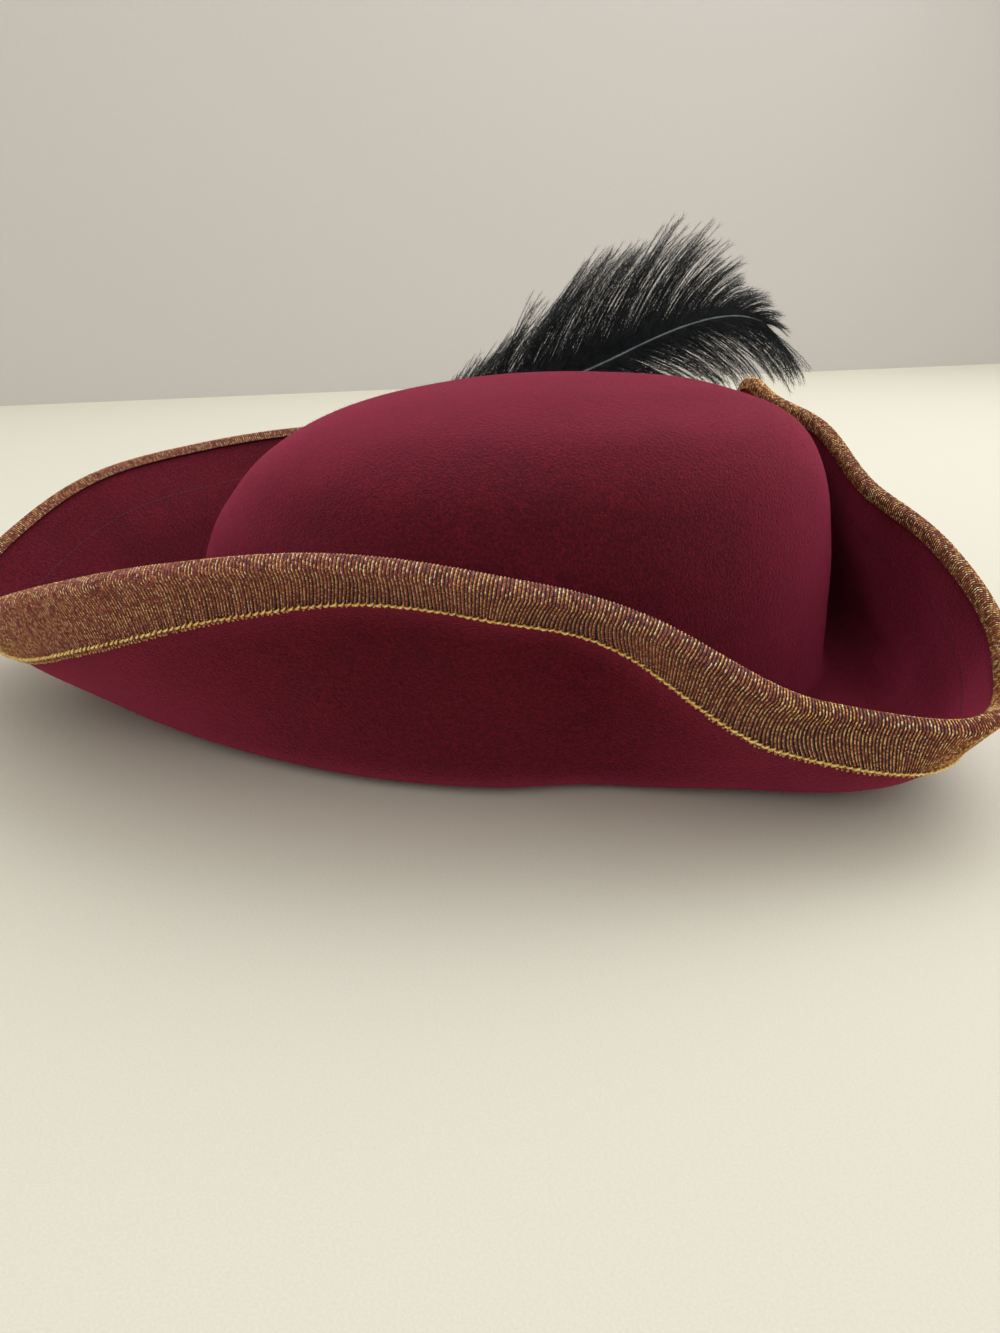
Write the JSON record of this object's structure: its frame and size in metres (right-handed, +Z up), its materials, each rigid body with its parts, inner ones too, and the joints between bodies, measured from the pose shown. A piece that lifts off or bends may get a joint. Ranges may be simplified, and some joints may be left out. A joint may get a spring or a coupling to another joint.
{
  "type": "tricorne hat",
  "caption": "Tricorne hat of blocked wool felt, its brim turned up into three corners and bound with metallic knit, with an ostrich plume beside the crown.",
  "frame": {"origin": "on the surface that the hat rests on, under the middle of the whole hat's bounding box, plume included", "axes": "+Z up through the crown, -Y the way the front corner points, +X the wearer's left"},
  "size_m": [0.2994, 0.3206, 0.1425],
  "materials": {
    "felt": "matte wool felt, burgundy",
    "knit_binding": "ribbed knit with gold metallic thread",
    "plume": "soft ostrich barbs, black with a grey-blue sheen",
    "tab_felt": "matte wool felt, burgundy"
  },
  "bodies": {
    "root": {"felt_body": "felt", "edge_binding": "knit_binding", "ostrich_plume": "plume", "quill_tab": "tab_felt"}
  },
  "joints": []
}
